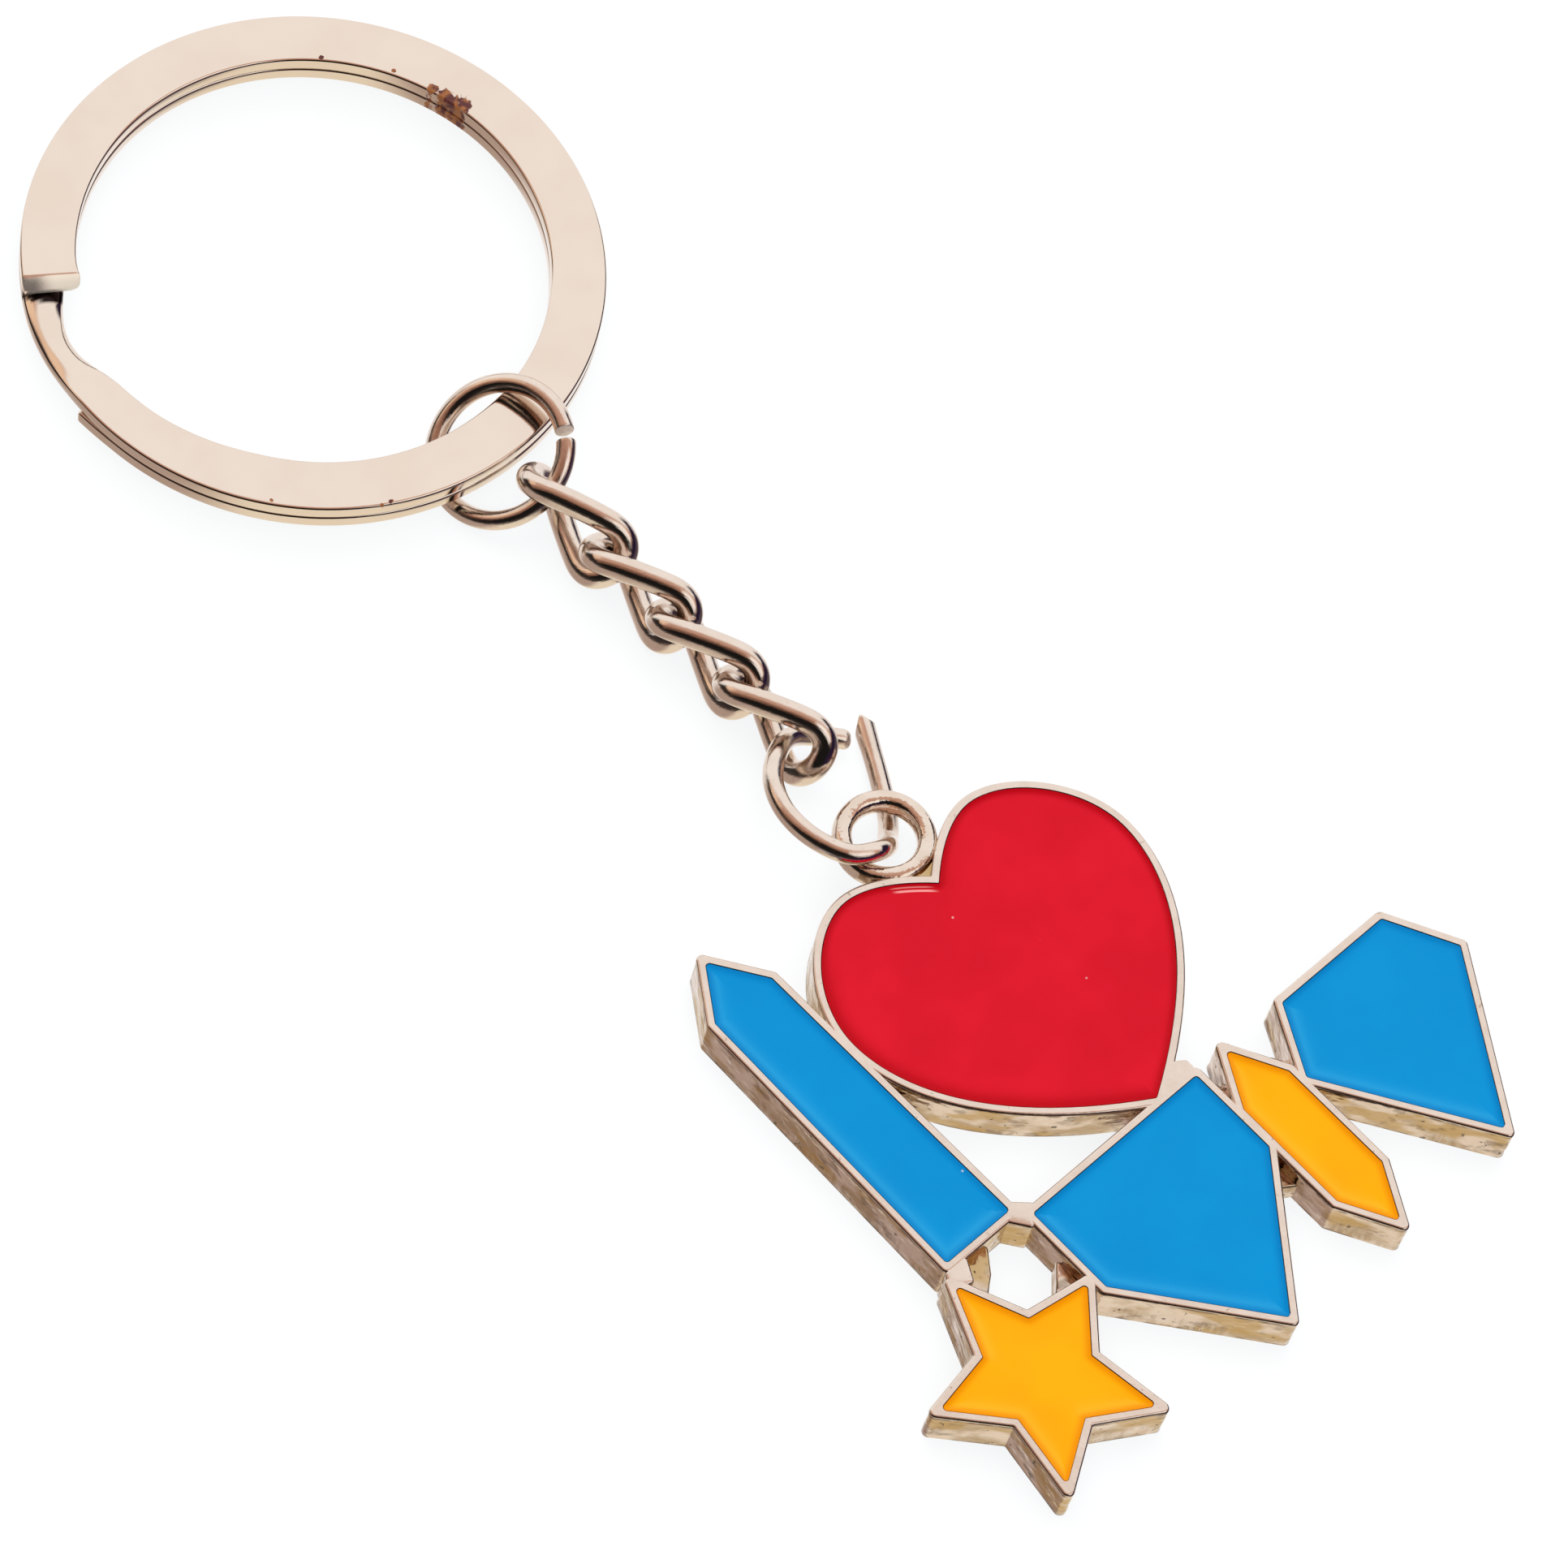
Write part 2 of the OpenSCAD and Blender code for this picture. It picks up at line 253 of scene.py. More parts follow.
def m_strip():
    m, t, b = material("plated_strip")
    p = mm_coords(t)
    attr = t.n("Attribute", attribute_name="along").outputs["Vector"]
    b.inputs["Metallic"].default_value = 1
    tint = t.noise(p, 0.35, 2)
    base = t.mix(t.step(tint, 0.35, 0.7), (0.805, 0.705, 0.625), (0.785, 0.68, 0.595))
    # brown stain and specks on the inner edge
    spot = None
    high = t.step(t.dot(p, (0, 0, 1)), 2.76, 2.90)
    for (x, y, r, wall) in ((26.35, 63.45, 1.0, 1), (26.15, 64.3, 0.75, 1), (25.95, 65.1, 0.5, 1), (22.7, 70.15, 0.26, 0),
                            (7.45, 47.95, 0.22, 0), (6.95, 48.1, 0.16, 0), (2.85, 51.8, 0.18, 0), (25.1, 67.2, 0.2, 0)):
        c = (x + D[0], y + D[1])
        vx = t.math("SUBTRACT", t.dot(p, (1, 0, 0)), c[0])
        vy = t.math("SUBTRACT", t.dot(p, (0, 1, 0)), c[1])
        dd = t.math("SQRT", t.math("ADD", t.math("MULTIPLY", vx, vx), t.math("MULTIPLY", vy, vy)))
        q = t.math("SUBTRACT", 1, t.step(dd, r * 0.25, r))
        if not wall:
            q = t.math("MULTIPLY", q, high)
        spot = q if spot is None else t.math("MAXIMUM", spot, q)
    grain = t.noise(p, 3.2, 4, 0.65)
    f = t.step(t.math("ADD", t.math("MULTIPLY", spot, 0.75), t.math("MULTIPLY", t.math("SUBTRACT", grain, 0.5), 1.5)), 0.36, 0.52)
    f = t.math("MULTIPLY", f, t.step(spot, 0.02, 0.30))
    rust = t.mix(t.step(t.noise(p, 2.4, 3), 0.42, 0.58), (0.34, 0.125, 0.035), (0.10, 0.022, 0.022))
    base = t.mix(f, base, rust)
    cut = t.n("Attribute", attribute_name="cut").outputs["Fac"]
    base = t.mix(cut, base, (1.0, 0.93, 0.80))
    # painted shadow: near black on the lower coil's top just under the upper free end
    base = t.mix(t.n("Attribute", attribute_name="painted_shadow").outputs["Fac"], base, (0.020, 0.012, 0.012))
    t.l(t.math("SUBTRACT", 1.0, t.math("MAXIMUM", t.math("MULTIPLY", f, 0.85), t.math("MULTIPLY", cut, 0.90))), b.inputs["Metallic"])
    t.l(base, b.inputs["Base Color"])
    fine = t.noise(t.mapped(attr, (0.5, 22, 22)), 1.0, 3)
    rough = t.math("ADD", t.math("MULTIPLY", fine, 0.05), t.math("ADD", 0.07, t.math("MULTIPLY", t.math("MAXIMUM", f, cut), 0.35)))
    t.l(rough, b.inputs["Roughness"])
    h = t.math("ADD", t.math("MULTIPLY", fine, 0.5), t.math("MULTIPLY", t.noise(p, 1.4, 2), 1.2))
    bump(t, b, h, 0.25, 0.00001)
    return m


def m_wire():
    m, t, b = material("plated_wire")
    p = mm_coords(t)
    attr = t.n("Attribute", attribute_name="along").outputs["Vector"]
    b.inputs["Metallic"].default_value = 1
    tint = t.noise(p, 0.8, 3)
    base = t.mix(t.step(tint, 0.3, 0.7), (0.80, 0.705, 0.635), (0.76, 0.655, 0.58))
    lines = t.noise(t.mapped(attr, (0.35, 9, 9)), 1.0, 4, 0.6)
    worn = t.step(t.noise(p, 1.3, 4, 0.7), 0.60, 0.72)
    base = t.mix(t.math("MULTIPLY", worn, 0.35), base, (0.52, 0.40, 0.30))
    t.l(base, b.inputs["Base Color"])
    cut = t.n("Attribute", attribute_name="cut").outputs["Fac"]
    t.l(t.math("SUBTRACT", 1.0, t.math("MULTIPLY", cut, 0.55)), b.inputs["Metallic"])
    t.l(t.math("ADD", t.math("MULTIPLY", lines, 0.07), t.math("ADD", 0.06, t.math("MULTIPLY", t.math("MAXIMUM", worn, t.math("MULTIPLY", cut, 3.0)), 0.10))), b.inputs["Roughness"])
    h = t.math("ADD", t.math("MULTIPLY", lines, 1.0), t.math("MULTIPLY", t.noise(p, 2.2, 2), 0.9))
    bump(t, b, h, 0.30, 0.00003)
    return m


def m_face():
    m, t, b = material("plated_face")
    p = mm_coords(t)
    b.inputs["Metallic"].default_value = 1
    base = t.mix(t.step(t.noise(p, 0.9, 3), 0.35, 0.7), (0.79, 0.69, 0.62), (0.74, 0.635, 0.56))
    specks = t.step(t.noise(p, 3.0, 2), 0.70, 0.74)
    base = t.mix(t.math("MULTIPLY", specks, 0.6), base, (0.42, 0.30, 0.22))
    t.l(base, b.inputs["Base Color"])
    t.l(t.math("ADD", 0.14, t.math("MULTIPLY", t.noise(p, 5, 3), 0.12)), b.inputs["Roughness"])
    bump(t, b, t.noise(p, 3.5, 3), 0.35, 0.00002)
    return m


def m_sides():
    m, t, b = material("cast_sides_painted_reflection")
    p = mm_coords(t)
    b.inputs["Metallic"].default_value = 1
    z = t.dot(p, (0, 0, 1))
    # brown and gold mottling: partly the casting's own tarnish, partly painted reflection of the shaded table beside
    # the walls
    big = t.noise(t.mapped(p, (1, 1, 1.6)), 0.42, 3, 0.55)
    base = t.mix(t.step(big, 0.40, 0.60), (0.50, 0.38, 0.26), (0.76, 0.65, 0.58))
    gold = t.step(t.noise(t.mapped(p, (1, 1, 2), (5, 3, 1)), 0.30, 2), 0.50, 0.60)
    base = t.mix(t.math("MULTIPLY", gold, 0.80), base, (0.52, 0.35, 0.14))
    # dark blotches: partly tarnish, partly painted shade
    stain_and_shade = t.step(t.noise(t.mapped(p, (1, 1, 1.8), (2, 9, 4)), 0.55, 3, 0.6), 0.56, 0.66)
    base = t.mix(t.math("MULTIPLY", stain_and_shade, 0.55), base, (0.17, 0.11, 0.07))
    # striations on the lower half, in places
    streak = t.noise(t.mapped(p, (1, 1, 0.20)), 3.0, 3, 0.6)
    lower = t.math("SUBTRACT", 1, t.step(z, 0.9, 1.5))
    zone = t.math("MULTIPLY", lower, t.step(t.noise(t.mapped(p, (1, 1, 0.6), (8, 1, 3)), 0.30, 2), 0.46, 0.56))
    base = t.mix(t.math("MULTIPLY", t.math("MULTIPLY", zone, t.step(streak, 0.46, 0.66)), 0.40), base, (0.80, 0.73, 0.72))
    base = t.mix(t.math("MULTIPLY", t.math("MULTIPLY", zone, t.step(t.math("SUBTRACT", 1, streak), 0.50, 0.66)), 0.28), base, (0.30, 0.23, 0.21))
    # a dark line of painted shade under the rim and at the foot, and a few pits
    foot = t.math("MAXIMUM", t.step(z, 2.10, 2.42), t.math("SUBTRACT", 1, t.step(z, 0.08, 0.30)))
    base = t.mix(t.math("MULTIPLY", foot, t.step(t.noise(p, 0.8, 3), 0.44, 0.60)), base, (0.16, 0.10, 0.065))
    pits = t.step(t.noise(p, 1.9, 3, 0.6), 0.66, 0.70)
    base = t.mix(t.math("MULTIPLY", pits, 0.75), base, (0.08, 0.05, 0.03))
    t.l(base, b.inputs["Base Color"])
    t.l(t.math("ADD", 0.09, t.math("MULTIPLY", zone, 0.16)), b.inputs["Roughness"])
    h = t.math("ADD", t.math("MULTIPLY", t.math("MULTIPLY", zone, streak), 0.45), t.math("MULTIPLY", t.noise(t.mapped(p, (1, 1, 1.6)), 0.7, 2), 3.2))
    h = t.math("SUBTRACT", h, t.math("MULTIPLY", pits, 0.6))
    bump(t, b, h, 0.55, 0.00010)
    return m


def m_eyelet():
    m, t, b = material("plated_eyelet")
    p = mm_coords(t)
    b.inputs["Metallic"].default_value = 1
    base = t.mix(t.step(t.noise(p, 0.9, 3), 0.35, 0.7), (0.80, 0.70, 0.62), (0.74, 0.63, 0.54))
    t.l(base, b.inputs["Base Color"])
    t.l(t.math("ADD", 0.07, t.math("MULTIPLY", t.noise(p, 4, 3), 0.08)), b.inputs["Roughness"])
    bump(t, b, t.noise(p, 1.1, 3), 0.6, 0.00014)
    return m


def m_back():
    m, t, b = material("cast_back")
    p = mm_coords(t)
    b.inputs["Metallic"].default_value = 1
    base = t.mix(t.step(t.noise(p, 0.8, 3), 0.35, 0.7), (0.74, 0.64, 0.55), (0.66, 0.56, 0.47))
    t.l(base, b.inputs["Base Color"])
    t.l(t.math("ADD", 0.25, t.math("MULTIPLY", t.noise(p, 4, 3), 0.15)), b.inputs["Roughness"])
    bump(t, b, t.noise(p, 4.5, 4, 0.6), 0.5, 0.00006)
    return m


def m_enamel(name, col, edge_col, painted_edge_col, seed, painted_edge_amount, lobe_highlight=False):
    m, t, b = material(name)
    p = mm_coords(t)
    edge = t.n("Attribute", attribute_name="edge").outputs["Fac"]
    side = t.n("Attribute", attribute_name="side").outputs["Fac"]
    tone = t.noise(t.mapped(p, (1, 1, 1), (seed, seed * 2, 0)), 0.25, 2)
    base = t.mix(t.math("MULTIPLY", t.step(tone, 0.3, 0.7), 0.25), col, edge_col)
    # painted shade: darker where the colour climbs the rim; a soft painted band along the near and left edges, painted
    # sheen on the blue and yellow, painted shade on the red
    near = t.step(side, -0.1, 0.6)
    wide = t.math("MULTIPLY", t.step(edge, 0.03, 0.55), near)
    base = t.mix(t.math("MULTIPLY", wide, painted_edge_amount), base, painted_edge_col)
    base = t.mix(t.math("MULTIPLY", t.step(edge, 0.35, 0.95), 0.85), base, edge_col)
    dust = t.n("TexVoronoi", feature="F1")
    dust.inputs["Scale"].default_value = 0.42
    t.l(t.mapped(p, (1, 1, 1), (seed * 3.1, seed, 0)), dust.inputs["Vector"])
    f = t.math("SUBTRACT", 1, t.step(dust.outputs["Distance"], 0.018, 0.034))
    pick = t.math("GREATER_THAN", t.dot(dust.outputs["Color"], (1, 0, 0)), 0.55)
    light = tuple(min(1.0, c * 0.5 + 0.45) for c in col)
    base = t.mix(t.math("MULTIPLY", t.math("MULTIPLY", f, pick), 0.8), base, light)
    if lobe_highlight:
        # painted highlight: pale lines along the far lobe's edge, left of the notch
        c = (12.70 + D[0], 15.75 + D[1])
        vx = t.math("DIVIDE", t.math("SUBTRACT", t.dot(p, (1, 0.10, 0)), c[0] + 0.10 * c[1]), 0.92)
        far_line = t.math("SUBTRACT", 1, t.step(t.math("ABSOLUTE", vx), 0.55, 1.0))
        b1 = t.math("MULTIPLY", t.step(edge, 0.42, 0.47), t.math("SUBTRACT", 1, t.step(edge, 0.55, 0.60)))
        b2 = t.math("MULTIPLY", t.step(edge, 0.70, 0.74), t.math("SUBTRACT", 1, t.step(edge, 0.79, 0.84)))
        band = t.math("MAXIMUM", b1, t.math("MULTIPLY", b2, 0.6))
        back = t.math("SUBTRACT", 1, t.step(side, -0.7, -0.3))
        k = t.math("MULTIPLY", t.math("MULTIPLY", far_line, band), back)
        base = t.mix(t.math("MULTIPLY", k, 0.85), base, (0.95, 0.42, 0.42))
    t.l(base, b.inputs["Base Color"])
    b.inputs["IOR"].default_value = 1.5
    b.inputs["Specular IOR Level"].default_value = 0.07
    t.l(t.math("ADD", 0.07, t.math("MULTIPLY", t.noise(p, 2.0, 2), 0.06)), b.inputs["Roughness"])
    bump(t, b, t.math("ADD", t.noise(p, 0.55, 2), t.math("MULTIPLY", f, t.math("MULTIPLY", pick, 0.6))), 0.35, 0.00006)
    return m


STRIP, WIRE, FACE, SIDES, BACK, EYELET = m_strip(), m_wire(), m_face(), m_sides(), m_back(), m_eyelet()
BLUE = m_enamel("enamel_blue", (0.000, 0.300, 0.720), (0.000, 0.220, 0.60), (0.03, 0.40, 0.80), 1.3, 0.55)
RED = m_enamel("enamel_red", (0.700, 0.007, 0.026), (0.450, 0.000, 0.006), (0.500, 0.001, 0.010), 2.7, 0.75, True)
YELLOW = m_enamel("enamel_yellow", (0.98, 0.460, 0.001), (0.84, 0.28, 0.000), (1.0, 0.53, 0.030), 4.1, 0.55)


# ------------------------------------------------------------------ mesh helpers
def nrm(v):
    v = np.asarray(v, float)
    return v / np.linalg.norm(v, axis=-1, keepdims=True)


def make(name, verts, faces, mats, smooth=True, along=None, cut=None):
    """A mesh object from points in mm in the row frame."""
    me = bpy.data.meshes.new(name)
    me.from_pydata([tuple(v) for v in (np.asarray(verts) * MM)], [], faces)
    for m in mats:
        me.materials.append(m)
    me.polygons.foreach_set("use_smooth", [smooth] * len(me.polygons))
    if along is not None:
        a = me.attributes.new("along", "FLOAT_VECTOR", "POINT")
        a.data.foreach_set("vector", np.asarray(along, np.float32).ravel())
    if cut is not None:
        a = me.attributes.new("cut", "FLOAT", "POINT")
        a.data.foreach_set("value", np.asarray(cut, np.float32))
    me.validate()
    me.update()
    ob = bpy.data.objects.new(name, me)
    bpy.context.scene.collection.objects.link(ob)
    return ob


def spline(k, n):
    """Centripetal spline through the points, n steps between each two."""
    k = np.asarray(k, float)
    e = np.vstack([2 * k[0] - k[1], k, 2 * k[-1] - k[-2]])
    out = []
    for i in range(1, len(k)):
        p0, p1, p2, p3 = e[i - 1:i + 3]
        t1 = np.sqrt(np.linalg.norm(p1 - p0))
        t2 = t1 + np.sqrt(np.linalg.norm(p2 - p1))
        t3 = t2 + np.sqrt(np.linalg.norm(p3 - p2))
        for j in range(n):
            t = t1 + (t2 - t1) * j / n
            a1 = (t1 - t) / t1 * p0 + t / t1 * p1
            a2 = (t2 - t) / (t2 - t1) * p1 + (t - t1) / (t2 - t1) * p2
            a3 = (t3 - t) / (t3 - t2) * p2 + (t - t2) / (t3 - t2) * p3
            b1 = (t2 - t) / t2 * a1 + t / t2 * a2
            b2 = (t3 - t) / (t3 - t1) * a2 + (t - t1) / (t3 - t1) * a3
            out.append((t2 - t) / (t2 - t1) * b1 + (t - t1) / (t2 - t1) * b2)
    out.append(k[-1])
    return np.array(out)


def smooth_path(p, times, closed):
    for _ in range(times):
        q = p.copy()
        if closed:
            q = 0.5 * p + 0.25 * (np.roll(p, 1, 0) + np.roll(p, -1, 0))
        else:
            q[1:-1] = 0.5 * p[1:-1] + 0.25 * (p[:-2] + p[2:])
        p = q
    return p


def wire(name, path, r, centre, closed=False, sides=36, ends=(None, None), wobble=0.006, seed=0.0, swell=0.0):
    """Round wire along a path. ends: for each end (rounding radius, function of a unit offset that says how far
    the cut lies back there)."""
    p = np.asarray(path, float)
    n = len(p)
    tan = nrm(np.roll(p, -1, 0) - np.roll(p, 1, 0)) if closed else nrm(np.vstack([p[1] - p[0], p[2:] - p[:-2], p[-1] - p[-2]]))
    u = p - np.asarray(centre)
    u = nrm(u - (u * tan).sum(1)[:, None] * tan)
    v = np.cross(tan, u)
    arc = np.concatenate([[0], np.cumsum(np.linalg.norm(np.diff(p, axis=0), axis=1))])
    th = np.arange(sides) * 2 * np.pi / sides
    verts, along, faces, cut = [], [], [], []
    reach = 1.8
    setups = []
    if not closed:
        for e, (i0, sgn) in enumerate(((0, -1), (n - 1, 1))):
            rnd, back = ends[e] if ends[e] is not None else (0.05, lambda o: 0.0)
            offs = [math.cos(t) * u[i0] + math.sin(t) * v[i0] for t in th]
            setups.append((i0, sgn, rnd, back, offs, [back(o) for o in offs]))
    for i in range(n):
        for j in range(sides):
            o = math.cos(th[j]) * u[i] + math.sin(th[j]) * v[i]
            w = noise.noise(Vector(p[i] * 0.55 + o * 0.35) + Vector((seed, 0, 0))) * wobble
            q = p[i] + o * (r + w - wobble * 0.6 + (swell * max(0, 1 - (arc[-1] - arc[i]) / 2.2) if swell else 0))
            for (i0, sgn, rnd, back, offs, backs) in setups:
                d = arc[i] if sgn < 0 else arc[-1] - arc[i]
                if d < reach:
                    # the last stretch is drawn back to where the cut and its rounding begin
                    f = 1 - d / reach
                    q = q - tan[i] * sgn * f * (backs[j] + rnd)
            verts.append(q)
            along.append((arc[i], math.cos(th[j]), math.sin(th[j])))
            cut.append(0.0)
    rings = n if closed else n - 1
    for i in range(rings):
        a0, b0 = i * sides, ((i + 1) % n) * sides
        for j in range(sides):
            faces.append((a0 + j, a0 + (j + 1) % sides, b0 + (j + 1) % sides, b0 + j))
    for e, (i0, sgn, rnd, back, offs, backs) in enumerate(setups):
        prev = i0 * sides
        levels = [(1 - rnd / r * (1 - math.cos(a)), rnd * math.sin(a)) for a in (0.4, 0.8, 1.2, 1.57)]
        top = levels[-1][0]
        levels += [(top * k, rnd) for k in (0.75, 0.5, 0.25)]
        for lv, (rf, push) in enumerate(levels):
            base = len(verts)
            for j in range(sides):
                rough = noise.noise(Vector(offs[j] * rf * 2.6) + Vector((7.0 * e + seed, 3.0, 0))) * (0.05 if rnd < 0.2 else 0.02)
                at = push - rnd - backs[j] * rf + (rough if lv > 2 else 0)
                verts.append(p[i0] + offs[j] * (r - wobble * 0.6 + (swell if sgn > 0 else 0)) * rf + tan[i0] * sgn * at)
                along.append((arc[i0], math.cos(th[j]) * rf, math.sin(th[j]) * rf))
                cut.append(1.0 if lv > 1 else 0.4)
            for j in range(sides):
                f = (prev + j, prev + (j + 1) % sides, base + (j + 1) % sides, base + j)
                faces.append(f if sgn > 0 else tuple(reversed(f)))
            prev = base
        verts.append(p[i0].copy())
        along.append((arc[i0], 0, 0))
        cut.append(1.0)
        c = len(verts) - 1
        for j in range(sides):
            f = (prev + j, prev + (j + 1) % sides, c)
            faces.append(f if sgn > 0 else tuple(reversed(f)))
    return make(name, verts, faces, [WIRE], along=along, cut=cut)


def add(ob, body, node):
    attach(ob, body)
    if node:
        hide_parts(node)
    return ob


# ------------------------------------------------------------------ split ring
RC = np.array([14.19, 61.16, 1.35]) + D
RO, SW, ST, STEP = 15.0, 2.85, 0.8, 0.85
RI = RO - SW


NECK = np.array([[130, 0], [136, 0.1], [142, 0.45], [149, 0.8], [156, 1.15], [160, 1.22], [164, 1.20], [170, 0.86],
                 [176, 0.60], [182, 0.50], [189, 0.42], [197, 0.27], [206, 0.12], [214, 0]])


def ease(x):
    x = min(1, max(0, x))
    return x * x * (3 - 2 * x)


def strip_section(hw_in, hw_out, t, r=0.15, crown=0.0):
    """Closed rounded outline (radial, height), counterclockwise seen along the travel."""
    pts = []
    k = 5
    w = hw_in + hw_out

    def top(x):
        f = (x + hw_in) / w
        return t - crown * (0.36 if f > 0.5 else 0.42) * abs(2 * f - 1) ** (1.8 if f > 0.5 else 1.9)

    for cx, a0 in ((hw_out - r, -90), (hw_out - r, 0), (-hw_in + r, 90), (-hw_in + r, 180)):
        upper = a0 in (0, 90)
        for i in range(k + 1):
            a = math.radians(a0 + 90 * i / k)
            x = cx + r * math.cos(a)
            pts.append((x, (top(x) if upper else 2 * r) - r + r * math.sin(a)))
        if a0 == 0:
            for i in range(1, 12):
                x = (hw_out - r) + (-hw_in - hw_out + 2 * r) * i / 12
                pts.append((x, top(x)))
        if a0 == 180:
            for i in range(1, 12):
                x = (-hw_in + r) + (hw_out + hw_in - 2 * r) * i / 12
                pts.append((x, 0.0))
    return pts


def split_ring():
    a0, a1 = 148.0, -544.0
    segs = []
    a = a0
    while a > a1 + 0.01:
        segs.append(a)
        near = min(a0 - a, a - a1)
        a -= 0.2 if near < 3.2 else (0.8 if -232 < a < -145 else 2.0)
    segs.append(a1)
    mid = (RI + RO) / 2
    verts, along, cut, painted_shadow = [], [], [], []
    count = None
    grid = np.arange(120, 231, 0.5)
    soft = np.interp(grid, NECK[:, 0], NECK[:, 1])
    kern = np.exp(-(np.arange(-20, 21) / 8.0) ** 2)
    soft = np.convolve(np.pad(soft, 20, "edge"), kern / kern.sum(), "valid")
    for a in segs:
        b = a + 360
        z0 = STEP * (1 - ease((177 - b) / 27)) if a < -140 else STEP
        at = b if b > 120 else b + 360
        hin = SW / 2 - (float(np.interp(at, grid, soft)) if a < -140 and 120 < at < 230 else 0.0)
        # the narrow stretch is crowned, as drawn wire is
        crown = ease((178 - b) / 13) * ease((b - 134) / 10) if a < -140 else 0.0
        # the free ends spread a little
        fa = max(0, 1 - (a0 - a) / 8.0)
        fb = max(0, 1 - (a - a1) / 10.0)
        hin += 0.20 * fa ** 2
        hout = SW / 2 + 0.16 * fb ** 1.5
        da, db = ((a0 - a) * math.radians(1) * mid, (a - a1) * math.radians(1) * mid)
        t, e, bare = ST, 0.0, 0.0
        if da < 0.62:
            # sheared end: its upper edge is drawn down, more at the inner side, and its inner corner is round
            f = 1 - da / 0.62
            t = ST - 0.52 * f ** 1.5
            bare = ease((0.60 - da) / 0.12)
            if da < 0.45:
                e = 0.45 - math.sqrt(max(0, 0.45 ** 2 - (0.45 - da) ** 2))
        elif db < 0.22:
            e = 0.22 - math.sqrt(max(0, 0.22 ** 2 - (0.22 - db) ** 2))
            t = ST - e
        sec = strip_section(hin - e, hout - (e * 0.25 if da < 1 else e * 0.9), t, r=min(0.15, t * 0.42), crown=crown)
        count = len(sec)
        ca, sa = math.cos(math.radians(a)), math.sin(math.radians(a))
        for j, (x, z) in enumerate(sec):
            rr = mid + x
            w = 0.004 * noise.noise(Vector((rr * ca, rr * sa, a * 0.02)) * 0.6)
            verts.append((RC[0] + rr * ca, RC[1] + rr * sa, RC[2] + z0 + z + (w if abs(z - ST) < 0.3 or z < 0.3 else 0) - 0.004))
            along.append((math.radians(a0 - a) * mid, x, z))
            cut.append(bare * (0.25 + 0.75 * ease((0.9 - x) / 1.2)))
            # painted shadow: the lower coil's top is darkened right beneath the upper free end
            painted_shadow.append(ease((b - 146) / 1.5) * ease((150.7 - 1.3 * x * x - b) / 0.7) if a < -140 and z > 0.3 else 0.0)
    n = len(segs)
    faces = []
    for i in range(n - 1):
        for j in range(count):
            faces.append((i * count + j, i * count + (j + 1) % count, (i + 1) * count + (j + 1) % count, (i + 1) * count + j))
    faces.append(tuple(reversed(range(count))))
    faces.append(tuple((n - 1) * count + j for j in range(count)))
    ob = make("split_ring_strip", verts, faces, [STRIP], along=along, cut=cut)
    att = ob.data.attributes.new("painted_shadow", "FLOAT", "POINT")
    att.data.foreach_set("value", np.asarray(painted_shadow, np.float32))
    m = ob.modifiers.new("normals", "WEIGHTED_NORMAL")
    m.keep_sharp, m.weight = True, 60
    return add(ob, "split_ring", "split_ring")


split_ring()


# ------------------------------------------------------------------ wires
def jump_ring():
    c = np.array([13.98, 46.88, 2.40]) + D
    lean, head = math.radians(31.8), math.radians(168.3)
    a = np.array([math.cos(lean) * math.cos(head), math.cos(lean) * math.sin(head), -math.sin(lean)])
    nn = np.array([math.sin(lean) * math.cos(head), math.sin(lean) * math.sin(head), math.cos(lean)])
    b = np.cross(nn, a)
    t = np.radians(154 + 2.5 + 0.2 + np.linspace(0, 355 - 0.4, 180))
    path = c + 3.58 * (np.cos(t)[:, None] * a + np.sin(t)[:, None] * b)
    ob = wire("jump_ring_wire", path, 0.51, c, sides=40, seed=1.0,
              ends=((0.05, lambda o: 0.12 + 0.12 * float(o[2])), (0.06, lambda o: 0.10 - 0.10 * float(o[2]))))
    add(ob, "jump_ring", "jump_ring")


jump_ring()


def link_path(a, b, turn, twist=106, m=40, s=28, cr=1.75):
    """An oval twisted about its length, so that its two strands cross over once."""
    a, b = np.array(a, float), np.array(b, float)
    length = np.linalg.norm(b - a)
    u = nrm(b - a)
    ex = nrm(np.cross([0, 0, 1.0], u))
    ez = np.cross(u, ex)
    oval = [(-cr * math.cos(math.pi * i / m), cr - cr * math.sin(math.pi * i / m)) for i in range(m)]
    oval += [(cr, cr + (length - 2 * cr) * i / s) for i in range(s)]
    oval += [(cr * math.cos(math.pi * i / m), length - cr + cr * math.sin(math.pi * i / m)) for i in range(m)]
    oval += [(-cr, length - cr - (length - 2 * cr) * i / s) for i in range(s)]
    h1, h2 = math.radians(turn + twist / 2), math.radians(turn - twist / 2)
    out = []
    for x, y in oval:
        w = y / length
        h = h1 + (h2 - h1) * w
        c = 0.55 * math.cos(h) + 0.45 * ((1 - w) * math.cos(h1) + w * math.cos(h2))
        v = 0.55 * math.sin(h) + 0.45 * ((1 - w) * math.sin(h1) + w * math.sin(h2))
        out.append(a + u * y + x * (c * ex + v * ez))
    return np.array(out)


def links():
    tops = {1: ((14.05, 44.65, 2.95), (14.1, 38.25, 2.05), 85)}
    for i in (2, 3, 4):
        y = 39.8 - 4.9 * (i - 2)
        tops[i] = ((14.15, y, 2.15), (14.15, y - 6.4, 2.15), 96)
    for i, (a, b, turn) in tops.items():
        a, b = np.array(a) + D, np.array(b) + D
        path = smooth_path(link_path(a, b, turn), 4, True)
        ob = wire(f"link_{i}_wire", path, 0.655, (a + b) / 2, closed=True, sides=40, seed=3.0 * i)
        add(ob, f"link_{i}", f"chain_link_{i}")


links()


